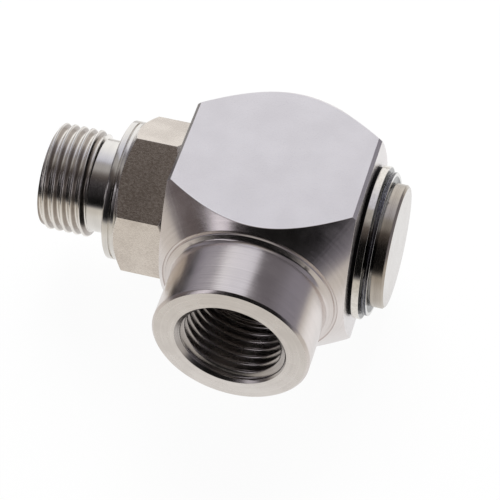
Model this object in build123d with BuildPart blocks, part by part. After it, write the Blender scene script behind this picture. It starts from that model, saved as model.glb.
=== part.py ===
"""Hydraulic rotary union: a stem with a G 1/2 stud that turns in a square housing with a G 1/2 port.

Frame, millimetres: the origin is the centre of the stud's sealing shoulder. +X runs along the swivel axis
from the stud into the housing, the port faces -Y, and +Z is the normal of the housing's upper flat.
"""
import os
from math import radians, tan

from build123d import *

# ---- Driving dimensions -------------------------------------------------------------------------------------
# G 1/2 pipe thread, 14 turns to the inch
THREAD_MAJOR_R = 20.955 / 2
THREAD_MINOR_R = 18.631 / 2

# Housing: a square bar along the port axis
HOUSING_WIDTH = 36.0
BAR_EDGE_CHAMFER = 0.65
PORT_X = 30.7                # sealing shoulder to port axis
BACK_Y = 18.0                # closed back of the housing
PORT_FACE_Y = -31.4          # front face of the port
CONE_FRONT_Y = -17.25        # where the front 45 degree cone is as wide as the bar
CONE_BACK_Y = 17.1           # the same for the back cone
BOSS_R = 15.1
BOSS_EDGE_CHAMFER = 0.4
BOSS_ROOT_FILLET = 1.1
ROOT_BAND_R = 17.4           # outer radius of the flatter band at the boss's root
ROOT_BAND_RISE = 0.75        # height of that band along the port axis

# Port
PORT_MOUTH_R = 11.0
PORT_THREAD_DEPTH = 15.0
PASSAGE_R = 6.5              # flow passage, in housing and stem

# Swivel fit
JOURNAL_R = 12.0
BORE_CLEARANCE = 0.05
BORE_LEAD_IN = 1.2           # length of the lead-in taper for the seals
BORE_LEAD_RISE = 0.5
END_GAP = 0.05               # dust ring to housing, each end

# Stud
STUD_LENGTH = 14.0
STUD_END_R = 9.7
UNDERCUT_R = 9.15
UNDERCUT_START = -3.4        # end of the ramp below the last thread
THREAD_END = -4.5            # start of that ramp
COLLAR_R = 13.65
COLLAR_EDGE = 0.3
COLLAR_GROOVE_X = 1.4        # fine turned groove between collar and hexagon
COLLAR_GROOVE_WIDTH = 0.35
COLLAR_GROOVE_DEPTH = 0.3
SEAL_RECESS_R = 12.0
SEAL_RECESS_DEPTH = 1.6
SEAL_PROUD = 0.12

# Hexagon
HEX_FLATS = 27.0
HEX_START = 2.4
HEX_END = 12.1
HEX_CHAMFER_ANGLE = 30.0
HEX_BACK_CHAMFER_R = 14.6

# Seals and guides, measured from the port axis outwards on each side
FLOW_GROOVE_HALF = 6.5
FLOW_GROOVE_R = 9.4
CROSS_HOLE_R = 3.75
BORE_END_X = 35.5            # full-diameter end of the stem's blind bore
DRILL_POINT_ANGLE = 118.0
GLAND_START = 7.9
GLAND_WIDTH = 4.9
GLAND_R = 9.85
O_RING_WIDTH = 2.16
BACKUP_WIDTH = 1.15
SEAL_OUTER_R = 12.02
GUIDE_START = 14.0
GUIDE_WIDTH = 3.2
GUIDE_GROOVE_R = 10.5
GUIDE_GAP = 1.0              # width of the guide ring's scarf cut

# Rings outside the housing's right end
DUST_RING_R = 14.6
DUST_RING_THICKNESS = 0.65
LEFT_DUST_RING_R = 13.2
WASHER_R = 14.85
WASHER_THICKNESS = 1.4
WASHER_BORE_R = 12.1
SNAP_GROOVE_R = 11.0
SNAP_GROOVE_WIDTH = 1.55
SNAP_RING_R = 13.9
SNAP_RING_THICKNESS = 0.95
SNAP_NOTCH_WIDTH = 1.6
END_DISC_LENGTH = 2.48
END_DISC_CHAMFER = 0.45

# ---- Worked-out places --------------------------------------------------------------------------------------
HALF_WIDTH = HOUSING_WIDTH / 2
LEFT_FACE_X = PORT_X - HALF_WIDTH
RIGHT_FACE_X = PORT_X + HALF_WIDTH
BORE_R = JOURNAL_R + BORE_CLEARANCE
WASHER_X = RIGHT_FACE_X + END_GAP + DUST_RING_THICKNESS
SNAP_GROOVE_X = WASHER_X + WASHER_THICKNESS
END_DISC_X = SNAP_GROOVE_X + SNAP_GROOVE_WIDTH
STEM_END_X = END_DISC_X + END_DISC_LENGTH

port_axis = Axis((PORT_X, 0, 0), (0, 1, 0))
port_plane = Plane(origin=(PORT_X, 0, 0), x_dir=(1, 0, 0), z_dir=(0, 0, 1))   # (radius, y) of the port axis


def mirrored_spans(start, width):
    """X spans of one feature left and right of the port axis."""
    left = (PORT_X - start - width, PORT_X - start)
    right = (PORT_X + start, PORT_X + start + width)
    return {"left": left, "right": right}


gland_spans = mirrored_spans(GLAND_START, GLAND_WIDTH)
guide_spans = mirrored_spans(GUIDE_START, GUIDE_WIDTH)

# ---- Housing ------------------------------------------------------------------------------------------------
with BuildPart() as housing:
    # Square bar along the port axis, with its four long edges broken.
    with BuildSketch(Plane.XZ.offset(-BACK_Y)) as bar:
        with Locations((PORT_X, 0)):
            Rectangle(HOUSING_WIDTH, HOUSING_WIDTH)
        chamfer(bar.vertices(), BAR_EDGE_CHAMFER)
    extrude(amount=BACK_Y - PORT_FACE_Y)

    # Everything turned about the port axis in one outline: back cone, front cone, root band, fillet and boss.
    # The cones leave the four flats with arched ends.
    turning_r = HOUSING_WIDTH * 0.75
    back_r = HALF_WIDTH - (BACK_Y - CONE_BACK_Y)
    band_y = CONE_FRONT_Y - HALF_WIDTH + ROOT_BAND_R
    fillet_r = BOSS_R + BOSS_ROOT_FILLET
    fillet_y = band_y - ROOT_BAND_RISE
    with BuildSketch(port_plane) as envelope:
        with BuildLine():
            Polyline(
                (0, BACK_Y),
                (back_r, BACK_Y),
                (turning_r, CONE_BACK_Y - (turning_r - HALF_WIDTH)),
                (turning_r, CONE_FRONT_Y + (turning_r - HALF_WIDTH)),
                (ROOT_BAND_R, band_y),
                (fillet_r, fillet_y),
            )
            boss_root = (BOSS_R, fillet_y - BOSS_ROOT_FILLET)
            RadiusArc((fillet_r, fillet_y), boss_root, BOSS_ROOT_FILLET)
            Polyline(
                boss_root,
                (BOSS_R, PORT_FACE_Y + BOSS_EDGE_CHAMFER),
                (BOSS_R - BOSS_EDGE_CHAMFER, PORT_FACE_Y),
                (0, PORT_FACE_Y),
                (0, BACK_Y),
            )
        make_face()
    revolve(axis=port_axis, mode=Mode.INTERSECT)

    # Swivel bore across the bar, with a lead-in taper for the seals at each end.
    with BuildSketch(Plane.XY) as swivel_bore:
        with BuildLine():
            Polyline(
                (LEFT_FACE_X, 0),
                (LEFT_FACE_X, BORE_R + BORE_LEAD_RISE),
                (LEFT_FACE_X + BORE_LEAD_IN, BORE_R),
                (RIGHT_FACE_X - BORE_LEAD_IN, BORE_R),
                (RIGHT_FACE_X, BORE_R + BORE_LEAD_RISE),
                (RIGHT_FACE_X, 0),
                close=True,
            )
        make_face()
    revolve(axis=Axis.X, mode=Mode.SUBTRACT)

    # Port: chamfered mouth, thread at its crest diameter, drill point and passage into the swivel bore.
    thread_end_y = PORT_FACE_Y + PORT_THREAD_DEPTH
    drill_rise = (THREAD_MINOR_R - PASSAGE_R) / tan(radians(DRILL_POINT_ANGLE / 2))
    with BuildSketch(port_plane) as port:
        with BuildLine():
            Polyline(
                (0, PORT_FACE_Y),
                (PORT_MOUTH_R, PORT_FACE_Y),
                (THREAD_MINOR_R, PORT_FACE_Y + PORT_MOUTH_R - THREAD_MINOR_R),
                (THREAD_MINOR_R, thread_end_y),
                (PASSAGE_R, thread_end_y + drill_rise),
                (PASSAGE_R, 0),
                (0, 0),
                close=True,
            )
        make_face()
    revolve(axis=port_axis, mode=Mode.SUBTRACT)

# ---- Stem ---------------------------------------------------------------------------------------------------
with BuildPart() as stem:
    # Hexagon with a corner upwards, its corners turned off at both ends.
    corner_r = HEX_FLATS / 2 / tan(radians(60)) * 2
    slope = tan(radians(HEX_CHAMFER_ANGLE))
    with BuildSketch(Plane.YZ.offset(HEX_START)) as hexagon:
        RegularPolygon(HEX_FLATS / 2, 6, major_radius=False, rotation=30)
    extrude(amount=HEX_END - HEX_START)
    with BuildSketch(Plane.XY) as hex_turning:
        with BuildLine():
            Polyline(
                (HEX_START, 0),
                (HEX_START, HEX_FLATS / 2),
                (HEX_START + (corner_r + 1 - HEX_FLATS / 2) * slope, corner_r + 1),
                (HEX_END - (corner_r + 1 - HEX_BACK_CHAMFER_R) * slope, corner_r + 1),
                (HEX_END, HEX_BACK_CHAMFER_R),
                (HEX_END, 0),
                close=True,
            )
        make_face()
    revolve(axis=Axis.X, mode=Mode.INTERSECT)

    # Stud and collar in front of the hexagon.
    groove_end = COLLAR_GROOVE_X + COLLAR_GROOVE_WIDTH
    stud_chamfer = THREAD_MAJOR_R - STUD_END_R
    with BuildSketch(Plane.XY) as stud:
        with BuildLine():
            Polyline(
                (-STUD_LENGTH, 0),
                (-STUD_LENGTH, STUD_END_R),
                (-STUD_LENGTH + stud_chamfer, THREAD_MAJOR_R),
                (THREAD_END, THREAD_MAJOR_R),
                (UNDERCUT_START, UNDERCUT_R),
                (SEAL_RECESS_DEPTH, UNDERCUT_R),
                (SEAL_RECESS_DEPTH, SEAL_RECESS_R),
                (0, SEAL_RECESS_R),
                (0, COLLAR_R - COLLAR_EDGE),
                (COLLAR_EDGE, COLLAR_R),
                (COLLAR_GROOVE_X, COLLAR_R),
                (COLLAR_GROOVE_X, COLLAR_R - COLLAR_GROOVE_DEPTH),
                (groove_end, COLLAR_R - COLLAR_GROOVE_DEPTH),
                (groove_end, COLLAR_R),
                (HEX_START, COLLAR_R),
                (HEX_START + 1, COLLAR_R - 1),
                (HEX_START + 1, 0),
                close=True,
            )
        make_face()
    revolve(axis=Axis.X)

    # Journal behind the hexagon, with its grooves, the snap-ring groove and the end disc.
    grooves = [guide_spans["left"] + (GUIDE_GROOVE_R,), gland_spans["left"] + (GLAND_R,)]
    grooves += [(PORT_X - FLOW_GROOVE_HALF, PORT_X + FLOW_GROOVE_HALF, FLOW_GROOVE_R)]
    grooves += [gland_spans["right"] + (GLAND_R,), guide_spans["right"] + (GUIDE_GROOVE_R,)]
    grooves += [(SNAP_GROOVE_X, END_DISC_X, SNAP_GROOVE_R)]
    journal_outline = [(HEX_END - 1, 0), (HEX_END - 1, JOURNAL_R)]
    for groove_x0, groove_x1, groove_r in grooves:
        journal_outline += [(groove_x0, JOURNAL_R), (groove_x0, groove_r)]
        journal_outline += [(groove_x1, groove_r), (groove_x1, JOURNAL_R)]
    journal_outline += [(STEM_END_X - END_DISC_CHAMFER, JOURNAL_R)]
    journal_outline += [(STEM_END_X, JOURNAL_R - END_DISC_CHAMFER), (STEM_END_X, 0)]
    with BuildSketch(Plane.XY) as journal:
        with BuildLine():
            Polyline(*journal_outline, close=True)
        make_face()
    revolve(axis=Axis.X)

    # Blind flow bore with its drill point, and cross holes into the flow groove.
    drill_tip = PASSAGE_R / tan(radians(DRILL_POINT_ANGLE / 2))
    with BuildSketch(Plane.XY) as flow_bore:
        with BuildLine():
            Polyline(
                (-STUD_LENGTH, 0),
                (-STUD_LENGTH, PASSAGE_R + COLLAR_EDGE),
                (-STUD_LENGTH + COLLAR_EDGE, PASSAGE_R),
                (BORE_END_X, PASSAGE_R),
                (BORE_END_X + drill_tip, 0),
                close=True,
            )
        make_face()
    revolve(axis=Axis.X, mode=Mode.SUBTRACT)
    for cross_plane in (Plane.XY, Plane.XZ):
        with BuildSketch(cross_plane):
            with Locations((PORT_X, 0)):
                Circle(CROSS_HOLE_R)
        extrude(amount=JOURNAL_R, both=True, mode=Mode.SUBTRACT)


# ---- Rings --------------------------------------------------------------------------------------------------
def turned_ring(x_span, r_span, edge=0.0, edge_break=fillet):
    """A ring about the swivel axis with a rectangular section whose corners are rounded or chamfered."""
    with BuildPart() as ring:
        with BuildSketch(Plane.XY) as section:
            with Locations((sum(x_span) / 2, sum(r_span) / 2)):
                Rectangle(x_span[1] - x_span[0], r_span[1] - r_span[0])
            if edge:
                edge_break(section.vertices(), edge)
        revolve(axis=Axis.X)
    return ring


def o_ring(x_middle):
    """A squeezed O-ring between the gland's floor and the swivel bore."""
    with BuildPart() as ring:
        with BuildSketch(Plane.XY):
            with Locations((x_middle, (GLAND_R + SEAL_OUTER_R) / 2)):
                Circle(O_RING_WIDTH / 2)
        revolve(axis=Axis.X)
    return ring


def guide_ring(x_span):
    """A split guide band with a slanted scarf cut on top."""
    with BuildPart() as ring:
        with BuildSketch(Plane.XY):
            with Locations((sum(x_span) / 2, (GUIDE_GROOVE_R + SEAL_OUTER_R) / 2)):
                Rectangle(x_span[1] - x_span[0] - 0.1, SEAL_OUTER_R - GUIDE_GROOVE_R)
        revolve(axis=Axis.X)
        with BuildSketch(Plane.XY.offset(GUIDE_GROOVE_R / 2)):
            with Locations(Location((sum(x_span) / 2, 0), 30)):
                Rectangle(2 * (x_span[1] - x_span[0]), GUIDE_GAP)
        extrude(amount=JOURNAL_R, mode=Mode.SUBTRACT)
    return ring


pieces = {"housing": housing, "stem": stem}
for side in ("left", "right"):
    gland_low, gland_high = gland_spans[side]
    gland_middle = (gland_low + gland_high) / 2
    pieces[f"{side}_guide_ring"] = guide_ring(guide_spans[side])
    pieces[f"{side}_o_ring"] = o_ring(gland_middle)
    low_name, high_name = ("outer", "inner") if side == "left" else ("inner", "outer")
    low_span = (gland_low + END_GAP, gland_low + END_GAP + BACKUP_WIDTH)
    high_span = (gland_high - END_GAP - BACKUP_WIDTH, gland_high - END_GAP)
    pieces[f"{side}_{low_name}_backup_ring"] = turned_ring(low_span, (GLAND_R, SEAL_OUTER_R), 0.1)
    pieces[f"{side}_{high_name}_backup_ring"] = turned_ring(high_span, (GLAND_R, SEAL_OUTER_R), 0.1)

pieces["stud_seal_ring"] = turned_ring((-SEAL_PROUD, SEAL_RECESS_DEPTH), (UNDERCUT_R, SEAL_RECESS_R - 0.05), 0.3)
pieces["left_dust_ring"] = turned_ring((HEX_END, LEFT_FACE_X - END_GAP), (JOURNAL_R, LEFT_DUST_RING_R), 0.15)
pieces["right_dust_ring"] = turned_ring((RIGHT_FACE_X + END_GAP, WASHER_X), (JOURNAL_R, DUST_RING_R), 0.2)
pieces["support_washer"] = turned_ring((WASHER_X, SNAP_GROOVE_X), (WASHER_BORE_R, WASHER_R), 0.2, chamfer)

# Two flat turns wound in one, with a fine parting groove between them and a notch for taking it out.
snap_x0 = SNAP_GROOVE_X + END_GAP
snap_x1 = snap_x0 + SNAP_RING_THICKNESS
with BuildPart() as retaining_ring:
    with BuildSketch(Plane.XY) as turns:
        for turn in range(2):
            turn_x = snap_x0 + SNAP_RING_THICKNESS * (0.25 + 0.5 * turn)
            with Locations((turn_x, (SNAP_GROOVE_R + SNAP_RING_R) / 2)):
                Rectangle(SNAP_RING_THICKNESS / 2, SNAP_RING_R - SNAP_GROOVE_R)
        chamfer(turns.vertices().group_by(Axis.Y)[-1], 0.12)
    revolve(axis=Axis.X)
    with BuildSketch(Plane.YZ.offset((snap_x0 + snap_x1) / 2)):
        with Locations((0, -SNAP_RING_R)):
            Rectangle(SNAP_NOTCH_WIDTH, SNAP_RING_R - SNAP_GROOVE_R)
    extrude(amount=SNAP_RING_THICKNESS, mode=Mode.SUBTRACT)
pieces["retaining_ring"] = retaining_ring

# ---- Write the pieces ---------------------------------------------------------------------------------------
os.makedirs("parts", exist_ok=True)
for name, piece in pieces.items():
    piece.part.label = name
    export_step(piece.part, f"parts/{name}.step")
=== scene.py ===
"""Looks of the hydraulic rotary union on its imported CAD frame.

The stem runs along X with its stud at -X, the port faces -Y, and +Z is the housing's upper flat. The pieces'
sizes are in millimetres until a mesh or a node takes them; the studio's are in metres.
"""
from math import acos, atan2, ceil, cos, hypot, pi, radians, sin, tan

import bmesh
import bpy
from mathutils import Matrix, Vector


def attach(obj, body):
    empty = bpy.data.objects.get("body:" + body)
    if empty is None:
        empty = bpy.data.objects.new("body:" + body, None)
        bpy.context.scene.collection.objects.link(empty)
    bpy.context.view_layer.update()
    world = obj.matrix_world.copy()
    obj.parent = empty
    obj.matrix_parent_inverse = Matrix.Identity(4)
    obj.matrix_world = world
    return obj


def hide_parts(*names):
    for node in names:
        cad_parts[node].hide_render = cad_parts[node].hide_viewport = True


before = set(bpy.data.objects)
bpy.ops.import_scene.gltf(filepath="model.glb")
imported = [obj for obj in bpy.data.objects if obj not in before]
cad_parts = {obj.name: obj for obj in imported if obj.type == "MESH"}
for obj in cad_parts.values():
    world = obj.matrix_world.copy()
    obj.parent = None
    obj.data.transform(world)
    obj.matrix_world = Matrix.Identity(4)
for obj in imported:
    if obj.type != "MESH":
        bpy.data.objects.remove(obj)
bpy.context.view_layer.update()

MM = 0.001
PORT_AXIS, STEM_AXIS = (0.0, 1.0, 0.0), (1.0, 0.0, 0.0)
PORT_X, HALF_WIDTH = 30.7, 18.0
LEFT_FACE_X, RIGHT_FACE_X = PORT_X - HALF_WIDTH, PORT_X + HALF_WIDTH
PORT_FACE_Y, BACK_Y = -31.4, 18.0
PASSAGE_R, BORE_R, JOURNAL_R = 6.5, 12.05, 12.0
WASHER_X, SNAP_GROOVE_X, END_DISC_X = 49.4, 50.8, 52.35

# The G 1/2 pipe thread of stud and port; a phase shifts its crests along by that share of a pitch.
THREAD_PITCH, THREAD_CREST_R, THREAD_ROOT_R = 25.4 / 14, 10.4775, 9.3155
FLANK_ANGLE, THREAD_ROUNDING = radians(27.5), 0.25
STUD_PHASE, PORT_PHASE = 0.22, 0.0


def metres(*sizes):
    """Sizes in millimetres as Blender takes them."""
    return tuple(size * MM for size in sizes)


# ---- Node trees written as sums ------------------------------------------------------------------
class Value:
    """One output of a node, whose sums are written as Python."""

    def __init__(self, recipe, socket):
        self.recipe, self.socket = recipe, socket

    def other(self, name):
        return Value(self.recipe, self.socket.node.outputs[name])

    def worked(self, operation, *amounts):
        return self.recipe.node("ShaderNodeMath", {"operation": operation}, dict(enumerate(amounts)))

    def __add__(self, other):
        return self.worked("ADD", self, other)

    def __sub__(self, other):
        return self.worked("SUBTRACT", self, other)

    def __rsub__(self, other):
        return self.worked("SUBTRACT", other, self)

    def __mul__(self, other):
        return self.worked("MULTIPLY", self, other)

    def __truediv__(self, other):
        return self.worked("DIVIDE", self, other)

    def __abs__(self):
        return self.worked("ABSOLUTE", self)

    __radd__, __rmul__ = __add__, __mul__


class Recipe:
    """A node tree in the making. A socket is given by its name, or by its number where names repeat."""

    def __init__(self, tree):
        self.tree = tree
        tree.nodes.clear()

    def node(self, kind, settings=None, inputs=None, output=0):
        made = self.tree.nodes.new(kind)
        for name, value in (settings or {}).items():
            setattr(made, name, value)
        for key, value in (inputs or {}).items():
            if isinstance(value, Value):
                self.tree.links.new(value.socket, made.inputs[key])
            else:
                made.inputs[key].default_value = value
        return Value(self, made.outputs[output] if made.outputs else None)

    def vector(self, operation, *amounts):
        output = 1 if operation in ("DOT_PRODUCT", "LENGTH") else 0
        return self.node("ShaderNodeVectorMath", {"operation": operation}, dict(enumerate(amounts)), output)

    def scaled(self, direction, amount):
        return self.node("ShaderNodeVectorMath", {"operation": "SCALE"}, {0: direction, 3: amount})

    def mixed(self, factor, first, second):
        inputs = {0: factor, 6: first, 7: second}
        return self.node("ShaderNodeMix", {"data_type": "RGBA"}, inputs, 2)

    def eased(self, amount, low, high, out_low=0.0, out_high=1.0):
        """Turns smoothly from out_low to out_high while an amount goes from low to high."""
        inputs = {0: amount, 1: low, 2: high, 3: out_low, 4: out_high}
        return self.node("ShaderNodeMapRange", {"interpolation_type": "SMOOTHSTEP"}, inputs)

    def noise(self, place, scale, detail=2.0, dimensions="3D"):
        key = "W" if dimensions == "1D" else "Vector"
        inputs = {key: place, "Scale": scale, "Detail": detail}
        return self.node("ShaderNodeTexNoise", {"noise_dimensions": dimensions}, inputs)

    def varied(self, pattern, amount, least, most):
        """An amount that a noise pattern varies between two multiples of it."""
        return self.eased(pattern, 0.3, 0.7, amount * least, amount * most)

    def from_axis(self, place, axis):
        """How far along an axis a place lies, and the spoke that reaches it straight out from that axis."""
        along = self.vector("DOT_PRODUCT", place, axis)
        return along, self.vector("SUBTRACT", place, self.scaled(axis, along))


def colour(shade):
    """A grey, or three values of red, green and blue, as a socket takes it."""
    return (*shade, 1.0) if isinstance(shade, tuple) else (shade, shade, shade, 1.0)


# ---- Finishes ------------------------------------------------------------------------------------
# How many clouds each finish has to the metre.
TURNED_CLOUDS, DRAWN_CLOUDS, RING_CLOUDS, THREAD_CLOUDS = 240.0, 160.0, 500.0, 900.0
TOOL_PATH_SLOPE, LINE_TILT = 0.6, 2.6
# The colour of the painted shade on a ring's faces, and how far that painted shade takes to fade out.
SHADED_FACE, SHADE_EDGE = (0.010, 0.009, 0.009), 0.3
# The middle of the flank with painted shade, and the half widths of its soft edge, as shares of a turn.
SHADED_FLANK, SHADED_FLANK_EDGE, SHADED_FLANK_CORE = 0.27, 0.17, 0.07
# The step that a thread's slope is taken over, and how far off the thread its own normals reach.
THREAD_STEP, THREAD_NEAR, THREAD_FAR = 0.01, 0.04, 0.09


def new_finish(name):
    material = bpy.data.materials.new(name)
    material.use_nodes = True
    return material, Recipe(material.node_tree)


def close_finish(recipe, shade, roughness, normal=None, **constants):
    """Ends a finish with its surface. Constants are the surface's own values, with _ for each space."""
    inputs = {name.replace("_", " "): amount for name, amount in constants.items()}
    inputs.update({"Base Color": shade, "Roughness": roughness})
    if normal is not None:
        inputs["Normal"] = normal
    surface = recipe.node("ShaderNodeBsdfPrincipled", None, inputs)
    recipe.node("ShaderNodeOutputMaterial", None, {"Surface": surface})


def in_the_world(recipe, normal):
    """A normal worked out in the piece's own space, turned as the piece is."""
    settings = {"vector_type": "NORMAL", "convert_from": "OBJECT", "convert_to": "WORLD"}
    return recipe.node("ShaderNodeVectorTransform", settings, {0: normal})


def grained(recipe, depth, pattern):
    """A normal that a pattern's grain raises by a depth."""
    return recipe.node("ShaderNodeBump", None, {"Strength": 1.0, "Distance": depth * MM, "Height": pattern})


def turned_steel(name, axis, centre, light, dark, rough, groove, feed=0.08, band=0.0, waves=0.6):
    """Steel cut on a lathe about an axis: the tool's fine lines run round it and spread each reflection."""
    material, recipe = new_finish(name)
    coordinates = recipe.node("ShaderNodeTexCoord")
    place = recipe.vector("SUBTRACT", coordinates.other("Object"), metres(*centre))
    along, spoke = recipe.from_axis(place, axis)
    tool_path = recipe.vector("LENGTH", spoke) + along * TOOL_PATH_SLOPE
    round_way = recipe.vector("NORMALIZE", recipe.vector("CROSS_PRODUCT", axis, spoke))
    across = recipe.vector("CROSS_PRODUCT", coordinates.other("Normal"), round_way)
    lines = recipe.noise(tool_path, 1 / (feed * MM), 1.0, "1D") - 0.5
    bands = recipe.noise(tool_path, 1 / (waves * MM), 2.0, "1D") - 0.5
    tilted = recipe.scaled(across, lines * (LINE_TILT * groove) + bands * band)
    normal = recipe.vector("NORMALIZE", recipe.vector("ADD", coordinates.other("Normal"), tilted))
    cloud = recipe.noise(coordinates.other("Object"), TURNED_CLOUDS, 3.0)
    brightness = recipe.eased(cloud * 0.45 + (lines + 0.5) * 0.33 + (bands + 0.5) * 0.22, 0.38, 0.62)
    close_finish(recipe, recipe.mixed(brightness, colour(dark), colour(light)),
                 recipe.varied(cloud, rough, 0.85, 1.2), in_the_world(recipe, normal), Metallic=1.0)
    return material


def drawn_steel(name, light, dark, rough, grain, grain_size, way=(1.0, 1.0, 1.0)):
    """Bar steel with its drawn or ground skin: soft clouds, and a fine grain that way stretches."""
    material, recipe = new_finish(name)
    coordinates = recipe.node("ShaderNodeTexCoord")
    place = recipe.vector("MULTIPLY", coordinates.other("Object"), way)
    fine = recipe.noise(place, 1 / (grain_size * MM), 3.0)
    cloud = recipe.noise(coordinates.other("Object"), DRAWN_CLOUDS, 4.0)
    brightness = recipe.eased(fine * 0.5 + cloud * 0.5, 0.38, 0.62)
    close_finish(recipe, recipe.mixed(brightness, colour(dark), colour(light)),
                 recipe.varied(fine, rough, 0.8, 1.25), grained(recipe, grain, fine), Metallic=1.0)
    return material


def flat_ring_steel(name, rim, rim_speck, faces, shaded_inside, rough, speck_size):
    """A flat ring: a rim with its own finish, and bright faces that turn dark with painted shade inside a
    given radius.
    """
    material, recipe = new_finish(name)
    coordinates = recipe.node("ShaderNodeTexCoord")
    facing = abs(recipe.vector("DOT_PRODUCT", coordinates.other("Normal"), STEM_AXIS))
    radius = recipe.vector("LENGTH", recipe.vector("MULTIPLY", coordinates.other("Object"), (0.0, 1.0, 1.0)))
    # Painted shade: the faces turn dark inside the given radius, where the next part shadows them.
    unshaded = recipe.eased(radius, *metres(shaded_inside, shaded_inside + SHADE_EDGE))
    face_shade = recipe.mixed(unshaded, colour(SHADED_FACE), colour(faces))
    specks = recipe.noise(coordinates.other("Object"), 1 / (speck_size * MM), 2.0)
    rim_shade = recipe.mixed(recipe.eased(specks, 0.40, 0.60), colour(rim_speck), colour(rim))
    shade = recipe.mixed(recipe.eased(facing, 0.25, 0.80), rim_shade, face_shade)
    cloud = recipe.noise(coordinates.other("Object"), RING_CLOUDS, 3.0)
    close_finish(recipe, shade, recipe.varied(cloud, rough, 0.85, 1.2), Metallic=1.0)
    return material


def plain_part(name, light, dark, rough, shine=0.5, grain=0.004, grain_size=0.25):
    """Rubber or PTFE: a dull skin with a faint grain."""
    material, recipe = new_finish(name)
    coordinates = recipe.node("ShaderNodeTexCoord")
    fine = recipe.noise(coordinates.other("Object"), 1 / (grain_size * MM), 3.0)
    brightness = recipe.eased(fine, 0.35, 0.65)
    close_finish(recipe, recipe.mixed(brightness, colour(dark), colour(light)),
                 recipe.varied(fine, rough, 0.9, 1.1), grained(recipe, grain, fine), Specular_IOR_Level=shine)
    return material


def turns_along(recipe, place, axis, side, up, pitch, phase):
    """How many turns of a thread a place lies along it; whole numbers are its crests."""
    along, sideways, upwards = (recipe.vector("DOT_PRODUCT", place, way) for way in (axis, side, up))
    return along / pitch + along.worked("ARCTAN2", sideways, upwards) / (2 * pi) + phase


def thread_radius(turns, pitch, crest, root):
    """How far from its axis a thread's surface lies, at a number of turns along it."""
    height = abs(turns.worked("FRACT", turns) - 0.5) * 2 - 0.5
    flank = height * (pitch * (0.5 / tan(FLANK_ANGLE))) + (crest + root) * 0.5
    bottomed = turns.worked("SMOOTH_MAX", flank, root, THREAD_ROUNDING * MM)
    return turns.worked("SMOOTH_MIN", bottomed, crest, THREAD_ROUNDING * MM)


def threaded_steel(name, axis, side, up, centre, phase, light, dark, rough):
    """A cut thread: its leading flank is bright, and its trailing flank has painted shade and is a little
    rougher.

    Its normals come from the thread's own form, and fade to the mesh's where the cut has run out.
    """
    material, recipe = new_finish(name)
    coordinates = recipe.node("ShaderNodeTexCoord")
    place = recipe.vector("SUBTRACT", coordinates.other("Object"), metres(*centre))
    _, spoke = recipe.from_axis(place, axis)
    pitch, crest, root = metres(THREAD_PITCH, THREAD_CREST_R, THREAD_ROOT_R)
    turns = turns_along(recipe, place, axis, side, up, pitch, phase)
    cloud = recipe.noise(coordinates.other("Object"), THREAD_CLOUDS, 3.0)
    # Painted shade: the trailing flank takes the dark colour, patchy with the clouds.
    shaded_flank = recipe.eased(abs(turns.worked("FRACT", turns) - SHADED_FLANK), SHADED_FLANK_EDGE, SHADED_FLANK_CORE)
    shaded_flank = shaded_flank * recipe.eased(cloud, 0.2, 0.5, 0.75, 1.0)
    ahead, here, behind = (thread_radius(turns + step, pitch, crest, root)
                           for step in (THREAD_STEP, 0.0, -THREAD_STEP))
    slope = (ahead - behind) / (2 * THREAD_STEP * pitch)
    cut_way = recipe.vector("SUBTRACT", recipe.vector("NORMALIZE", spoke), recipe.scaled(axis, slope))
    on_thread = recipe.eased(abs(recipe.vector("LENGTH", spoke) - here), *metres(THREAD_FAR, THREAD_NEAR))
    cut_share = recipe.scaled(recipe.vector("NORMALIZE", cut_way), on_thread)
    mesh_share = recipe.scaled(coordinates.other("Normal"), 1.0 - on_thread)
    normal = recipe.vector("NORMALIZE", recipe.vector("ADD", cut_share, mesh_share))
    close_finish(recipe, recipe.mixed(shaded_flank, colour(light), colour(dark)),
                 recipe.eased(shaded_flank, 0.0, 1.0, rough, rough * 1.2), in_the_world(recipe, normal), Metallic=1.0)
    return material


PORT_CENTRE, STEM_CENTRE = (PORT_X, 0.0, 0.0), (0.0, 0.0, 0.0)
housing_turned = turned_steel(
    "housing_turned_steel", PORT_AXIS, PORT_CENTRE, light=(0.80, 0.745, 0.725), dark=(0.73, 0.68, 0.66),
    rough=0.20, groove=0.06, band=0.012)
port_face_steel = turned_steel(
    "port_face_steel", PORT_AXIS, PORT_CENTRE, light=(0.87, 0.83, 0.80), dark=(0.75, 0.71, 0.68),
    rough=0.26, groove=0.10)
# The port's thread takes darker colours than the housing's other turned steel: painted shade inside the port.
port_thread_steel = turned_steel(
    "port_thread_steel", PORT_AXIS, PORT_CENTRE, light=(0.60, 0.565, 0.545), dark=(0.44, 0.41, 0.395),
    rough=0.25, groove=0.05)
flat_ground = drawn_steel(
    "housing_ground_flats", light=(0.88, 0.85, 0.85), dark=(0.82, 0.79, 0.79),
    rough=0.32, grain=0.002, grain_size=0.12)
stem_bright = turned_steel(
    "stem_bright_steel", STEM_AXIS, STEM_CENTRE, light=(0.85, 0.825, 0.79), dark=(0.77, 0.745, 0.71),
    rough=0.16, groove=0.05)
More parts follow.
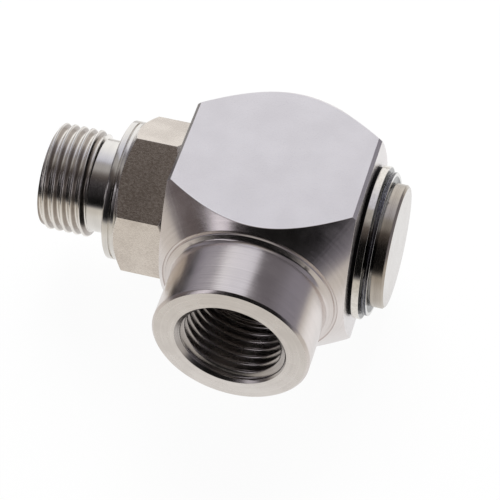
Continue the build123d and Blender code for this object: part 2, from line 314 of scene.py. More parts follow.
# The stud thread's dark colour is the painted shade of its trailing flank.
stem_thread = threaded_steel(
    "stud_thread_steel", STEM_AXIS, (0, 1, 0), (0, 0, 1), STEM_CENTRE, STUD_PHASE,
    light=(0.90, 0.87, 0.83), dark=(0.40, 0.36, 0.33), rough=0.21)
stem_drawn = drawn_steel(
    "hexagon_drawn_steel", light=(0.78, 0.71, 0.64), dark=(0.63, 0.565, 0.505),
    rough=0.24, grain=0.009, grain_size=0.32, way=(0.6, 1.0, 1.0))
stem_satin = turned_steel(
    "end_disc_satin_steel", STEM_AXIS, STEM_CENTRE, light=(0.54, 0.49, 0.43), dark=(0.42, 0.375, 0.325),
    rough=0.22, groove=0.06)
stem_faced = turned_steel(
    "end_disc_faced_steel", STEM_AXIS, STEM_CENTRE, light=(0.69, 0.66, 0.64), dark=(0.60, 0.57, 0.55),
    rough=0.22, groove=0.06)
# Both rings carry painted shade on their faces inside the radius given; on the washer it covers nearly all of
# each face.
washer_steel = flat_ring_steel(
    "support_washer_steel", rim=(0.84, 0.80, 0.74), rim_speck=(0.76, 0.72, 0.66), faces=(0.7, 0.68, 0.65),
    shaded_inside=14.5, rough=0.13, speck_size=0.5)
spring_steel = flat_ring_steel(
    "retaining_ring_spring_steel", rim=(0.17, 0.17, 0.195), rim_speck=(0.03, 0.03, 0.036),
    faces=(0.74, 0.73, 0.72), shaded_inside=13.1, rough=0.18, speck_size=0.2)
rubber = plain_part("black_seal_rubber", (0.006, 0.006, 0.006), (0.003, 0.003, 0.003), rough=0.55, shine=0.05)
ptfe = plain_part("white_ring_ptfe", (0.82, 0.82, 0.80), (0.74, 0.74, 0.72), rough=0.45)
guide_ptfe = plain_part("bronze_filled_ptfe", (0.33, 0.22, 0.12), (0.22, 0.14, 0.08), rough=0.5)


# ---- Mesh making ---------------------------------------------------------------------------------
SAME_PLACE, NO_LENGTH = 5e-7, 1e-7
ARM_SHARE = 0.45


def eased_corner(before, corner, after, ease, steps=3):
    """Points that round one corner of an outline by about the given radius."""
    arms = []
    for end in (before, after):
        reach = hypot(end[0] - corner[0], end[1] - corner[1]) or 1e-9
        arms.append(((end[0] - corner[0]) / reach, (end[1] - corner[1]) / reach, reach))
    (ax, ay, a_reach), (bx, by, b_reach) = arms
    opening = acos(max(-1.0, min(1.0, ax * bx + ay * by)))
    cut = min(ease * tan((pi - opening) / 2), ARM_SHARE * a_reach, ARM_SHARE * b_reach)
    start = (corner[0] + ax * cut, corner[1] + ay * cut)
    end = (corner[0] + bx * cut, corner[1] + by * cut)
    points = []
    for step in range(steps + 1):
        t = step / steps
        weights = ((1 - t) ** 2, 2 * t * (1 - t), t * t)
        points.append(tuple(
            weights[0] * start[i] + weights[1] * corner[i] + weights[2] * end[i] for i in (0, 1)))
    return points


def eased_outline(corners):
    """An outline's points, and the finish from each point to the next.

    A corner is (along, radius, ease, divisions, finish), with the last two for the side that follows it.
    """
    points, finishes, ends = [], [], []
    count = len(corners)
    for number, (along, radius, ease, _, _) in enumerate(corners):
        if ease and 0 < number < count - 1:
            ends.append(eased_corner(corners[number - 1], (along, radius), corners[number + 1], ease))
        else:
            ends.append([(along, radius)])
    for number, arc in enumerate(ends):
        points += arc
        finishes += [corners[max(number - 1, 0)][4]] * (len(arc) - 1)
        if number + 1 < count:
            divisions, finish = corners[number][3:]
            start, end = arc[-1], ends[number + 1][0]
            finishes += [finish] * divisions
            for step in range(1, divisions):
                t = step / divisions
                points.append((start[0] + (end[0] - start[0]) * t, start[1] + (end[1] - start[1]) * t))
    return points, finishes


def bar_section(corners, ease, step):
    """A bar's section as (angle, radius) pairs, with eased corners and sides divided every step degrees."""
    count = len(corners)
    arcs = [eased_corner(corners[i - 1], corners[i], corners[(i + 1) % count], ease, 4) for i in range(count)]
    points = []
    for number, arc in enumerate(arcs):
        points += arc
        start, end = arc[-1], arcs[(number + 1) % count][0]
        run = (end[0] - start[0], end[1] - start[1])
        first = atan2(start[1], start[0])
        turn = (atan2(end[1], end[0]) - first) % (2 * pi)
        divisions = max(1, ceil(turn / radians(step)))
        for division in range(1, divisions):
            way = first + turn * division / divisions
            share = (start[1] * cos(way) - start[0] * sin(way)) / (run[0] * sin(way) - run[1] * cos(way))
            points.append((start[0] + run[0] * share, start[1] + run[1] * share))
    return [(atan2(v, u), hypot(u, v)) for u, v in points]


def turned_body(name, section, outline_at, place, materials):
    """A closed body turned about an axis; its outline may change with the section's radius at each angle."""
    mesh = bmesh.new()
    rows = []
    for angle, radius in section:
        points, finishes = outline_at(radius)
        rows.append([mesh.verts.new(metres(*place(along, reach, angle))) for along, reach in points])
    for number, row in enumerate(rows):
        following = rows[(number + 1) % len(rows)]
        for step, finish in enumerate(finishes):
            face = mesh.faces.new((row[step], row[step + 1], following[step + 1], following[step]))
            face.material_index, face.smooth = finish, True
    bmesh.ops.remove_doubles(mesh, verts=mesh.verts, dist=SAME_PLACE)
    bmesh.ops.dissolve_degenerate(mesh, edges=mesh.edges, dist=NO_LENGTH)
    bmesh.ops.recalc_face_normals(mesh, faces=mesh.faces)
    return linked(name, mesh, materials)


def linked(name, mesh, materials):
    """A bmesh as a piece of the scene."""
    data = bpy.data.meshes.new(name)
    mesh.to_mesh(data)
    mesh.free()
    for material in materials:
        data.materials.append(material)
    piece = bpy.data.objects.new(name, data)
    bpy.context.scene.collection.objects.link(piece)
    return piece


def made_plain(piece, *tools):
    """Turns a piece into the plain mesh that its modifiers make, and throws its tools away."""
    bpy.context.view_layer.update()
    depsgraph = bpy.context.evaluated_depsgraph_get()
    mesh = bpy.data.meshes.new_from_object(
        piece.evaluated_get(depsgraph), preserve_all_data_layers=True, depsgraph=depsgraph)
    piece.modifiers.clear()
    piece.data = mesh
    for tool in tools:
        bpy.data.objects.remove(tool)
    return piece


def finished(piece, crease=38.0, soft_finish=None):
    """Even shading: flats stay flat up to their eased edges, and only real corners stay sharp.

    Every edge inside the soft finish is smooth, however steep, as on a thread.
    """
    piece.data.set_sharp_from_angle(angle=radians(crease))
    if soft_finish is not None:
        mesh = bmesh.new()
        mesh.from_mesh(piece.data)
        for edge in mesh.edges:
            if all(face.material_index == soft_finish for face in edge.link_faces):
                edge.smooth = True
        mesh.to_mesh(piece.data)
        mesh.free()
    weighting = piece.modifiers.new("even_shading", "WEIGHTED_NORMAL")
    weighting.keep_sharp = True
    return made_plain(piece)


def cut_with(piece, *tools):
    """Takes the tools' shapes out of a piece; a cut face gets its tool's finish."""
    for tool in tools:
        cut = piece.modifiers.new("cut", "BOOLEAN")
        cut.operation, cut.solver, cut.object = "DIFFERENCE", "EXACT", tool
        cut.material_mode = "TRANSFER"
    return made_plain(piece, *tools)


def about_stem(along, radius, angle):
    """A place about the stem's axis; about_port and about_upright turn about the port's and the Z axis."""
    return (along, radius * sin(angle), radius * cos(angle))


def about_port(along, radius, angle):
    return (PORT_X + radius * cos(angle), along, radius * sin(angle))


def about_upright(along, radius, angle):
    return (PORT_X + radius * sin(angle), radius * cos(angle), along)


def even_section(steps):
    """The even angles of a round body, whose radius comes from its outline alone."""
    return [(2 * pi * step / steps, 0.0) for step in range(steps)]


# ---- Thread cutting, as one Geometry Nodes tool for stud and port --------------------------------
ABOVE_CREST, BELOW_ROOT = 0.5, 0.4


def thread_tool():
    """Moves a turned blank's points on to a thread from Start to End; the cut runs out just before End."""
    tree = bpy.data.node_groups.new("thread_tool", "GeometryNodeTree")
    for name, kind, default in (
        ("Blank", "NodeSocketGeometry", None), ("Pitch", "NodeSocketFloat", THREAD_PITCH * MM),
        ("Crest Radius", "NodeSocketFloat", THREAD_CREST_R * MM),
        ("Root Radius", "NodeSocketFloat", THREAD_ROOT_R * MM),
        ("Start", "NodeSocketFloat", 0.0), ("End", "NodeSocketFloat", 0.0),
        ("Run Out", "NodeSocketFloat", 0.001), ("Phase", "NodeSocketFloat", 0.0),
        ("Inside", "NodeSocketBool", False),
        ("Axis", "NodeSocketVector", (1, 0, 0)), ("Side", "NodeSocketVector", (0, 1, 0)),
        ("Up", "NodeSocketVector", (0, 0, 1)), ("Centre", "NodeSocketVector", (0, 0, 0)),
        ("Finish", "NodeSocketMaterial", None),
    ):
        socket = tree.interface.new_socket(name=name, in_out="INPUT", socket_type=kind)
        if default is not None:
            socket.default_value = default
    tree.interface.new_socket(name="Threaded", in_out="OUTPUT", socket_type="NodeSocketGeometry")
    recipe = Recipe(tree)
    given = recipe.node("NodeGroupInput")
    axis, side, up, centre = (given.other(name) for name in ("Axis", "Side", "Up", "Centre"))
    pitch, crest, root = (given.other(name) for name in ("Pitch", "Crest Radius", "Root Radius"))
    start, end, run_out = (given.other(name) for name in ("Start", "End", "Run Out"))
    place = recipe.vector("SUBTRACT", recipe.node("GeometryNodeInputPosition"), centre)
    along, spoke = recipe.from_axis(place, axis)
    radius = recipe.vector("LENGTH", spoke)
    turns = turns_along(recipe, place, axis, side, up, pitch, given.other("Phase"))
    cut = thread_radius(turns, pitch, crest, root)
    fade = (along - end + run_out) / run_out
    fade = fade.worked("MINIMUM", fade.worked("MAXIMUM", fade, 0.0), 1.0)
    depth = crest - root
    outside_cut = along.worked("MINIMUM", radius, cut + fade * depth)
    inside_cut = along.worked("MAXIMUM", radius, cut - fade * depth)
    chosen = recipe.node("GeometryNodeSwitch", {"input_type": "FLOAT"},
                         {"Switch": given.other("Inside"), "False": outside_cut, "True": inside_cut})
    zone = (along.worked("GREATER_THAN", along, start) * along.worked("LESS_THAN", along, end)
            * along.worked("LESS_THAN", radius, crest + ABOVE_CREST * MM)
            * along.worked("GREATER_THAN", radius, root - BELOW_ROOT * MM))
    moved = recipe.vector("ADD", recipe.scaled(axis, along), recipe.scaled(spoke, chosen / radius))
    moved = recipe.vector("ADD", centre, moved)
    threaded = recipe.node("GeometryNodeSetPosition", None,
                           {"Geometry": given.other("Blank"), "Selection": zone, "Position": moved})
    real = recipe.node("GeometryNodeRealizeInstances", None, {"Geometry": threaded})
    dressed = recipe.node("GeometryNodeSetMaterial", None,
                          {"Geometry": real, "Selection": zone, "Material": given.other("Finish")})
    recipe.node("NodeGroupOutput", None, {"Threaded": dressed})
    return tree


def add_tool(piece, tree, **inputs):
    """Puts a Geometry Nodes tool on a piece, with its named inputs, which have _ for each space."""
    modifier = piece.modifiers.new(tree.name, "NODES")
    modifier.node_group = tree
    for item in tree.interface.items_tree:
        wanted = item.name.replace(" ", "_")
        if item.in_out == "INPUT" and wanted in inputs:
            modifier[item.identifier] = inputs[wanted]


thread_cutter = thread_tool()

# ---- Housing -------------------------------------------------------------------------------------
TURNED, FACE, THREAD, GROUND = 0, 1, 2, 3
BOSS_R, BOSS_CHAMFER, MOUTH_R = 15.1, 0.5, 10.72
THREAD_END_Y, DRILL_POINT = PORT_FACE_Y + 15, radians(59)
PORT_THREAD_START, PORT_THREAD_END, PORT_RUN_OUT = PORT_FACE_Y + 0.02, -17.2, 1.6
ROOT_FILLET, FILLET_END_R, FILLET_END_Y, FILLET_STEP = 1.1, 16.2, -18.6, radians(13)
SHOULDER_FRONT_Y, SHOULDER_BACK_Y = -18.5, -18.02
SHOULDER_IN_R, SHOULDER_R, SHOULDER_OUT_R = 16.3, 16.45, 16.85
# Both cones slope at 45 degrees, and are given by where they would meet the port's axis.
FRONT_CONE, BACK_CONE, FRONT_CONE_R, BACK_CONE_R = -35.25, 35.1, 17.03, 17.1
CORNER_FLAT, CORNER_EASE, EDGE_BREAK = 0.65, 0.12, 0.2
BORE_CHAMFER_R, BORE_CHAMFER_LONG = BORE_R + 0.5, 1.2


def housing_outline(radius):
    """The outline from inside the port, round its boss, and over the square bar to the middle of its back."""
    drill_rise = (THREAD_ROOT_R - PASSAGE_R) / tan(DRILL_POINT)
    corners = [
        (0.0, 0.0, 0, 1, THREAD), (0.0, PASSAGE_R, 0, 2, THREAD),
        (THREAD_END_Y + drill_rise, PASSAGE_R, 0, 2, THREAD), (THREAD_END_Y, THREAD_ROOT_R, 0, 120, THREAD),
        (PORT_FACE_Y + MOUTH_R - THREAD_ROOT_R, THREAD_ROOT_R, 0, 12, THREAD),
        (PORT_FACE_Y, MOUTH_R, 0.06, 3, FACE),
        (PORT_FACE_Y, BOSS_R - BOSS_CHAMFER, 0.1, 1, TURNED),
        (PORT_FACE_Y + BOSS_CHAMFER, BOSS_R, 0.12, 4, TURNED),
    ]
    for step in range(5):
        turn = FILLET_STEP * step
        corners.append((FILLET_END_Y - ROOT_FILLET * (1 - sin(turn)), FILLET_END_R - ROOT_FILLET * cos(turn),
                        0, 1, TURNED))
    corners += [
        (SHOULDER_FRONT_Y, SHOULDER_IN_R, 0.1, 1, TURNED), (SHOULDER_BACK_Y, SHOULDER_R, 0.05, 1, TURNED),
        (SHOULDER_BACK_Y, SHOULDER_OUT_R, 0.05, 1, TURNED),
        (FRONT_CONE + FRONT_CONE_R, FRONT_CONE_R, 0, 5, TURNED),
        (FRONT_CONE + radius, radius, EDGE_BREAK, 4, GROUND),
        (BACK_CONE - radius, radius, EDGE_BREAK, 3, TURNED),
        (BACK_Y, BACK_CONE_R, EDGE_BREAK, 4, TURNED), (BACK_Y, 0.0, 0, 1, TURNED),
    ]
    return eased_outline(corners)


def bore_cutter_outline(_):
    """The stem's bore, chamfered at both ends."""
    left, right, chamfer_r = LEFT_FACE_X, RIGHT_FACE_X, BORE_CHAMFER_R
    return eased_outline([(along, radius, 0, 1, 0) for along, radius in (
        (left - 1, 0), (left - 1, chamfer_r), (left, chamfer_r), (left + BORE_CHAMFER_LONG, BORE_R),
        (right - BORE_CHAMFER_LONG, BORE_R), (right, chamfer_r), (right + 1, chamfer_r), (right + 1, 0),
    )])


edge_in = HALF_WIDTH - CORNER_FLAT
square = [
    (HALF_WIDTH, -edge_in), (HALF_WIDTH, edge_in), (edge_in, HALF_WIDTH), (-edge_in, HALF_WIDTH),
    (-HALF_WIDTH, edge_in), (-HALF_WIDTH, -edge_in), (-edge_in, -HALF_WIDTH), (edge_in, -HALF_WIDTH)]
housing = turned_body("housing_body_steel", bar_section(square, ease=CORNER_EASE, step=2.0), housing_outline,
                      about_port, [housing_turned, port_face_steel, port_thread_steel, flat_ground])
add_tool(housing, thread_cutter, Start=PORT_THREAD_START * MM, End=PORT_THREAD_END * MM,
         Run_Out=PORT_RUN_OUT * MM, Inside=True, Phase=PORT_PHASE, Axis=PORT_AXIS, Side=(0, 0, 1),
         Up=(1, 0, 0), Centre=metres(*PORT_CENTRE), Finish=port_thread_steel)
made_plain(housing)
bore_cutter = turned_body("bore_cutter", even_section(160), bore_cutter_outline, about_stem, [stem_bright])
cut_with(housing, bore_cutter)
finished(housing, soft_finish=THREAD)

# ---- Stem ----------------------------------------------------------------------------------------
BRIGHT, STUD, DRAWN, SATIN, FACED = 0, 1, 2, 3, 4
STUD_END_X, STUD_TIP_R, STUD_MOUTH_R, STUD_MOUTH_X = -14.0, 9.7, 6.8, -13.7
STUD_THREAD_END_X, UNDERCUT_X, UNDERCUT_R, STUD_RUN_OUT = -4.95, -4.3, 9.15, 0.1
SEAL_RECESS_X, SEAL_RECESS_R = 1.6, 12.0
COLLAR_R, COLLAR_FACE_R, COLLAR_CHAMFER_X = 13.65, 13.1, 0.3
COLLAR_LINE_START, COLLAR_LINE_END, COLLAR_LINE_R = 1.4, 1.75, 13.1
HEX_HALF, HEX_START, HEX_END, HEX_SLOPE, HEX_TURNED_R = 13.5, 2.4, 12.1, radians(30), 14.6
DRILL_END_X, DRILL_TIP_X = 35.5, 39.406
STEM_END_X, END_CHAMFER = 54.83, 0.45
CROSS_HOLE_R, CROSS_HOLE_REACH = 3.75, 11
# Each groove's start, end and floor radius, from the left: guide ring, seals, flow groove, seals, guide ring
# and retaining ring.
GROOVES = ((13.5, 16.7, 10.5), (17.9, 22.8, 9.85), (24.2, 37.2, 9.4), (38.6, 43.5, 9.85), (44.7, 47.9, 10.5),
           (SNAP_GROOVE_X, END_DISC_X, 11.0))


def stem_outline(radius):
    """The outline from the drill's tip, out of the stud, and over hexagon and journal to the end disc."""
    slope = tan(HEX_SLOPE)
    turned_down = max(0.0, radius - HEX_TURNED_R)
    corners = [
        (DRILL_TIP_X, 0, 0, 1, BRIGHT), (DRILL_END_X, PASSAGE_R, 0, 1, BRIGHT),
        (STUD_MOUTH_X, PASSAGE_R, 0, 1, BRIGHT), (STUD_END_X, STUD_MOUTH_R, 0.05, 2, BRIGHT),
        (STUD_END_X, STUD_TIP_R, 0.06, 9, STUD),
        (STUD_END_X + THREAD_CREST_R - STUD_TIP_R, THREAD_CREST_R, 0, 225, STUD),
        (STUD_THREAD_END_X, THREAD_CREST_R, 0, 16, STUD), (UNDERCUT_X, UNDERCUT_R, 0.1, 2, BRIGHT),
        (SEAL_RECESS_X, UNDERCUT_R, 0, 1, BRIGHT), (SEAL_RECESS_X, SEAL_RECESS_R, 0, 1, BRIGHT),
        (0.0, SEAL_RECESS_R, 0.05, 1, BRIGHT), (0.0, COLLAR_FACE_R, 0.06, 1, BRIGHT),
        (COLLAR_CHAMFER_X, COLLAR_R, 0.08, 1, BRIGHT),
        (COLLAR_LINE_START, COLLAR_R, 0.05, 1, BRIGHT), (COLLAR_LINE_START, COLLAR_LINE_R, 0, 1, BRIGHT),
        (COLLAR_LINE_END, COLLAR_LINE_R, 0, 1, BRIGHT), (COLLAR_LINE_END, COLLAR_R, 0.05, 1, BRIGHT),
        (HEX_START, COLLAR_R, 0.05, 2, BRIGHT),
        (HEX_START + (radius - HEX_HALF) * slope, radius, 0.12, 3, DRAWN),
        (HEX_END - turned_down * slope - 0.02, radius, 0.1, 1, BRIGHT),
        (HEX_END, min(radius, HEX_TURNED_R) - 0.02, 0.08, 1, BRIGHT), (HEX_END, JOURNAL_R, 0, 1, BRIGHT),
    ]
    for start, end, floor_r in GROOVES:
        ease = 0.06 if end == END_DISC_X else 0
        corners += [(start, JOURNAL_R, 0, 1, BRIGHT), (start, floor_r, 0, 1, BRIGHT),
                    (end, floor_r, 0, 1, BRIGHT), (end, JOURNAL_R, ease, 1, SATIN)]
    corners += [(STEM_END_X - END_CHAMFER, JOURNAL_R, 0.1, 1, SATIN),
                (STEM_END_X, JOURNAL_R - END_CHAMFER, 0.1, 4, FACED), (STEM_END_X, 0, 0, 1, FACED)]
    return eased_outline(corners)


def cross_hole_outline(_):
    """A hole right through the stem, into its flow groove."""
    reach, radius = CROSS_HOLE_REACH, CROSS_HOLE_R
    return eased_outline([(along, across, 0, 1, 0) for along, across in (
        (-reach, 0), (-reach, radius), (reach, radius), (reach, 0))])


hex_corner_r = HEX_HALF / cos(radians(30))
hexagon = [(hex_corner_r * cos(radians(60 * side)), hex_corner_r * sin(radians(60 * side)))
           for side in range(6)]
stem = turned_body("stem_steel", bar_section(hexagon, ease=CORNER_EASE, step=1.8), stem_outline, about_stem,
                   [stem_bright, stem_thread, stem_drawn, stem_satin, stem_faced])
add_tool(stem, thread_cutter, Start=(STUD_END_X - 0.1) * MM, End=(UNDERCUT_X + 0.05) * MM,
         Run_Out=STUD_RUN_OUT * MM, Phase=STUD_PHASE, Finish=stem_thread)
made_plain(stem)
cross_holes = [turned_body(name, even_section(48), cross_hole_outline, place, [stem_bright])
               for name, place in (("cross_hole_y", about_port), ("cross_hole_z", about_upright))]
cut_with(stem, *cross_holes)
finished(stem, soft_finish=STUD)


# ---- Rings outside the housing -------------------------------------------------------------------
SLIP, WIRE_EASE = 0.01, 0.09


def ring(name, x_span, r_span, ease, material):
    """A plain flat ring about the stem, from its span along X and its inner and outer radius."""
    (x0, x1), (r0, r1) = x_span, r_span
    middle = (x0 + x1) / 2
    corners = [(middle, r0, 0, 1, 0), (x1, r0, ease, 1, 0), (x1, r1, ease, 1, 0), (x0, r1, ease, 1, 0),
               (x0, r0, ease, 1, 0), (middle, r0, 0, 1, 0)]
    outline = eased_outline(corners)
    return finished(turned_body(name, even_section(192), lambda _: outline, about_stem, [material]))


dust_ring = ring("right_dust_ring_rubber", x_span=(48.76, WASHER_X - SLIP), r_span=(12.02, 14.35), ease=0.15,
                 material=rubber)
washer = ring("support_washer_steel", x_span=(WASHER_X + SLIP, SNAP_GROOVE_X - SLIP), r_span=(12.1, 14.85),
              ease=0.07, material=washer_steel)


def two_turn_ring():
    """A flat wire wound edgewise for two turns, stepping over by its own thickness once in a turn.

    Its sizes are in metres, and Step Length is a share of a turn.
    """
    tree = bpy.data.node_groups.new("two_turn_ring", "GeometryNodeTree")
    for name, default in (
        ("Turns", 2.0), ("Radius", 0.0125), ("Wire Width", 0.0029), ("Wire Thickness", 0.00045),
        ("Step", 0.00048), ("Step Length", 0.09), ("Place", 0.05136),
    ):
        socket = tree.interface.new_socket(name=name, in_out="INPUT", socket_type="NodeSocketFloat")
        socket.default_value = default
    tree.interface.new_socket(name="Finish", in_out="INPUT", socket_type="NodeSocketMaterial")
    tree.interface.new_socket(name="Ring", in_out="OUTPUT", socket_type="NodeSocketGeometry")
    recipe = Recipe(tree)
    given = recipe.node("NodeGroupInput")
    path = recipe.node("GeometryNodeCurveSpiral", None, {
        "Resolution": 128, "Rotations": given.other("Turns"), "Start Radius": given.other("Radius"),
        "End Radius": given.other("Radius"), "Height": 1.0})
    point = recipe.node("GeometryNodeInputPosition")
    parts = recipe.node("ShaderNodeSeparateXYZ", None, {0: point})
    wound = parts.other("Z") * given.other("Turns")
    whole = wound.worked("FLOOR", wound)
    stepped = (wound - whole - 1.0) / given.other("Step Length") + 1.0
    lift = (whole + stepped.worked("MAXIMUM", stepped, 0.0)) * given.other("Step")
    moved = recipe.node("ShaderNodeCombineXYZ", None,
                        {"X": parts.other("Y") * -1.0, "Y": parts.other("X"), "Z": lift})
    flat = recipe.node("GeometryNodeSetPosition", None, {"Geometry": path, "Position": moved})
    flat = recipe.node("GeometryNodeSetCurveNormal", {"mode": "Z_UP"}, {"Curve": flat})
    wire = recipe.node("GeometryNodeCurvePrimitiveQuadrilateral", None,
                       {"Width": given.other("Wire Width"), "Height": given.other("Wire Thickness")})
    wire = recipe.node("GeometryNodeFilletCurve", {"mode": "POLY"},
                       {"Curve": wire, "Radius": WIRE_EASE * MM, "Count": 3})
    swept = recipe.node("GeometryNodeCurveToMesh", None,
                        {"Curve": flat, "Profile Curve": wire, "Fill Caps": True})
    laid = recipe.node("ShaderNodeCombineXYZ", None, {"X": given.other("Place")})
    turned = recipe.node("GeometryNodeTransform", None,
                         {"Geometry": swept, "Translation": laid, "Rotation": (0, pi / 2, 0)})
    real = recipe.node("GeometryNodeRealizeInstances", None, {"Geometry": turned})
    dressed = recipe.node("GeometryNodeSetMaterial", None,
                          {"Geometry": real, "Material": given.other("Finish")})
    recipe.node("NodeGroupOutput", None, {"Ring": dressed})
    return tree


snap_ring = linked("retaining_ring_steel", bmesh.new(), [spring_steel])
add_tool(snap_ring, two_turn_ring(), Finish=spring_steel)
made_plain(snap_ring)
snap_mesh = bmesh.new()
snap_mesh.from_mesh(snap_ring.data)
bmesh.ops.remove_doubles(snap_mesh, verts=snap_mesh.verts, dist=NO_LENGTH)
bmesh.ops.recalc_face_normals(snap_mesh, faces=snap_mesh.faces)
for face in snap_mesh.faces:
    face.smooth = True
snap_mesh.to_mesh(snap_ring.data)
snap_mesh.free()
finished(snap_ring)

# ---- Bodies and replaced nodes; the table's slot column is not used ------------------------------
for piece, body, node, slot in (
    (housing, "housing_body", "housing", "turned_steel"), (stem, "stem_body", "stem", "bright_steel"),
    (dust_ring, "stem_body", "right_dust_ring", "black_rubber"),
    (washer, "stem_body", "support_washer", "ground_steel"),
    (snap_ring, "stem_body", "retaining_ring", "dark_spring_steel"),
):
    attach(piece, body)
    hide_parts(node)

# The other rings keep their CAD shapes and get their finishes here.
for name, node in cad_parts.items():
    if not node.hide_render:
        node.data.materials.clear()
        node.data.materials.append(guide_ptfe if "guide" in name else ptfe if "backup" in name else rubber)

# ---- Studio --------------------------------------------------------------------------------------
FLOOR_RADIUS, FLOOR_GAP, PAPER_WHITE = 0.108, 0.00005, 0.96
SEEN_GLOW, MIRRORED_GLOW = 0.95, 0.82
LAMP_BEARING, LAMP_HEIGHT, LAMP_DISTANCE, LAMP_ENERGY = radians(-12), radians(42), 0.6, 4.2
MIDDLE_X = 0.03

scene = bpy.context.scene
scene.view_settings.view_transform = "Standard"

floor_mesh = bmesh.new()
bmesh.ops.create_circle(floor_mesh, cap_ends=True, segments=96, radius=FLOOR_RADIUS)
floor = linked("studio_floor", floor_mesh, [])
floor.location = (MIDDLE_X, 0.0, -HALF_WIDTH * MM - FLOOR_GAP)
floor_finish, recipe = new_finish("floor_white")
ray = recipe.node("ShaderNodeLightPath")
camera_ray = ray.other("Is Camera Ray")
mirrored_ray = camera_ray.worked("MAXIMUM", ray.other("Is Glossy Ray"), ray.other("Is Transmission Ray"))
paper = recipe.node("ShaderNodeBsdfDiffuse", None, {"Color": colour(PAPER_WHITE)})
# Painted light and shade on the floor, which only mirrored rays see: its glow is white near the object, fades
# farther out to a warm painted grey, and to a darker painted shade on the back-left side.
spot = recipe.vector("SUBTRACT", recipe.node("ShaderNodeTexCoord").other("Object"), (0.005, 0.02, 0.0))
painted_pool = recipe.eased(recipe.vector("LENGTH", spot), 0.095, 0.035)
clear_of_painted_shade = recipe.eased(recipe.vector("DOT_PRODUCT", spot, (0.5, -0.85, 0.0)), -0.07, -0.01)
painted_far_shade = recipe.mixed(clear_of_painted_shade, colour((0.20, 0.17, 0.14)), colour((0.58, 0.54, 0.48)))
mirrored = recipe.mixed(painted_pool, painted_far_shade, colour(PAPER_WHITE))
glow = recipe.node("ShaderNodeEmission", None,
                   {"Color": recipe.mixed(camera_ray, mirrored, colour(1.0)), "Strength": 1.0})
share = camera_ray.worked("MAXIMUM", camera_ray * SEEN_GLOW, mirrored_ray * MIRRORED_GLOW)
mix = recipe.node("ShaderNodeMixShader", None, {0: share, 1: paper, 2: glow})
recipe.node("ShaderNodeOutputMaterial", None, {"Surface": mix})
floor.data.materials.append(floor_finish)

rear_lamp = bpy.data.objects.new("rear_soft_box", bpy.data.lights.new("rear_soft_box", "AREA"))
rear_lamp.data.shape, rear_lamp.data.size, rear_lamp.data.size_y = "RECTANGLE", 0.45, 0.35
rear_lamp.data.energy = LAMP_ENERGY
rear_lamp.visible_glossy = rear_lamp.visible_camera = False
lamp_way = Vector((sin(LAMP_BEARING) * cos(LAMP_HEIGHT), cos(LAMP_BEARING) * cos(LAMP_HEIGHT),
                   sin(LAMP_HEIGHT)))
rear_lamp.location = Vector((MIDDLE_X, 0, 0)) + lamp_way * LAMP_DISTANCE
rear_lamp.rotation_euler = lamp_way.to_track_quat("Z", "Y").to_euler()
scene.collection.objects.link(rear_lamp)

world = bpy.data.worlds.new("studio")
scene.world = world
world.use_nodes = True
recipe = Recipe(world.node_tree)
way = recipe.node("ShaderNodeTexCoord").other("Generated")
level_way = recipe.vector("NORMALIZE", recipe.vector("MULTIPLY", way, (1.0, 1.0, 0.0)))
upward = recipe.node("ShaderNodeSeparateXYZ", None, {0: way}).other("Z")
height = upward.worked("ARCSINE", upward) * (180 / pi)


def panel(bearing, half_width, low, high, soft):
    """Whether a direction lies inside one panel, from 0 to 1. Bearings turn from +Y to +X, in degrees."""
    middle = (sin(radians(bearing)), cos(radians(bearing)), 0.0)
    aside = recipe.vector("DOT_PRODUCT", level_way, middle)
    aside = aside.worked("ARCCOSINE", aside) * (180 / pi)
    return (recipe.eased(aside, half_width + soft, half_width - soft)
            * recipe.eased(height, low - soft, low + soft) * recipe.eased(height, high + soft, high - soft))


def shaded_up(low, high, below, above):
    """A light that changes from one colour to another between two heights."""
    ends = [colour(shade) if isinstance(shade, (float, tuple)) else shade for shade in (below, above)]
    return recipe.mixed(recipe.eased(height, low, high), *ends)


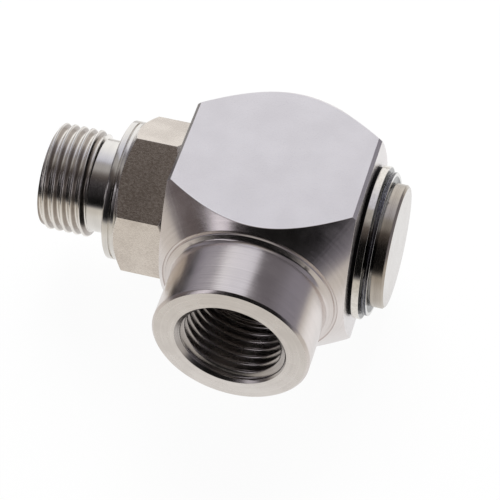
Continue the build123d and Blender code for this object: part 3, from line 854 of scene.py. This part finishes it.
# The room's own light comes first. Each panel then covers those before it; a row gives its bearing, half
# width, lowest and highest point, softness and light.
side_light = shaded_up(15.0, 38.0, (0.25, 0.24, 0.275), (0.15, 0.14, 0.155))
side_light = shaded_up(55.0, 76.0, side_light, (0.40, 0.385, 0.375))
side_light = shaded_up(-5.0, -13.0, side_light, (0.64, 0.61, 0.565))
rear_light = shaded_up(15.0, 78.0, 1.0, (0.62, 0.63, 0.73))
hood = shaded_up(42.0, 74.0, 0.002, (0.115, 0.096, 0.088))
studio = side_light
for bearing, half_width, low, high, soft, panel_light in (
    (-14, 27, -25, 82, 6, rear_light),
    (-47, 6, 14, 58, 6, colour((0.38, 0.37, 0.41))),
    (-62, 22, -14, 6, 5, colour(0.05)),
    (-172, 60, -9, 73, 7, hood),
    (-148, 12, 12, 56, 10, colour((0.055, 0.048, 0.052))),
    (-117, 9, -8, 26, 5, colour((0.13, 0.11, 0.11))),
    (-138, 8, 8, 48, 3, colour((0.92, 0.89, 0.96))),
):
    studio = recipe.mixed(panel(bearing, half_width, low, high, soft), studio, panel_light)
ray = recipe.node("ShaderNodeLightPath")
light = recipe.mixed(ray.other("Is Glossy Ray"), colour(0.45), studio)
light = recipe.mixed(ray.other("Is Camera Ray"), light, colour(1.0))
sky = recipe.node("ShaderNodeBackground", None, {"Color": light, "Strength": 1.0})
recipe.node("ShaderNodeOutputWorld", None, {"Surface": sky})

# ---- Camera --------------------------------------------------------------------------------------
CAMERA_PLACE, CAMERA_LENS, SENSOR_WIDTH = (0.105239, -0.281967, 0.337838), 167.6, 36.0
azimuth, elevation, roll = radians(15.747), radians(49.900), radians(-0.068)
right = Vector((cos(azimuth), sin(azimuth), 0.0))
forward = Vector((-sin(azimuth) * cos(elevation), cos(azimuth) * cos(elevation), -sin(elevation)))
up = right.cross(forward)
turned_right = right * cos(roll) + up * sin(roll)
turned_up = up * cos(roll) - right * sin(roll)
camera_data = bpy.data.cameras.new("camera")
camera_data.lens, camera_data.sensor_width = CAMERA_LENS, SENSOR_WIDTH
camera_data.clip_start, camera_data.clip_end = 0.01, 20.0
camera = bpy.data.objects.new("camera", camera_data)
scene.collection.objects.link(camera)
rotation = Matrix((turned_right, turned_up, -forward)).transposed().to_4x4()
camera.matrix_world = Matrix.Translation(CAMERA_PLACE) @ rotation
scene.camera = camera
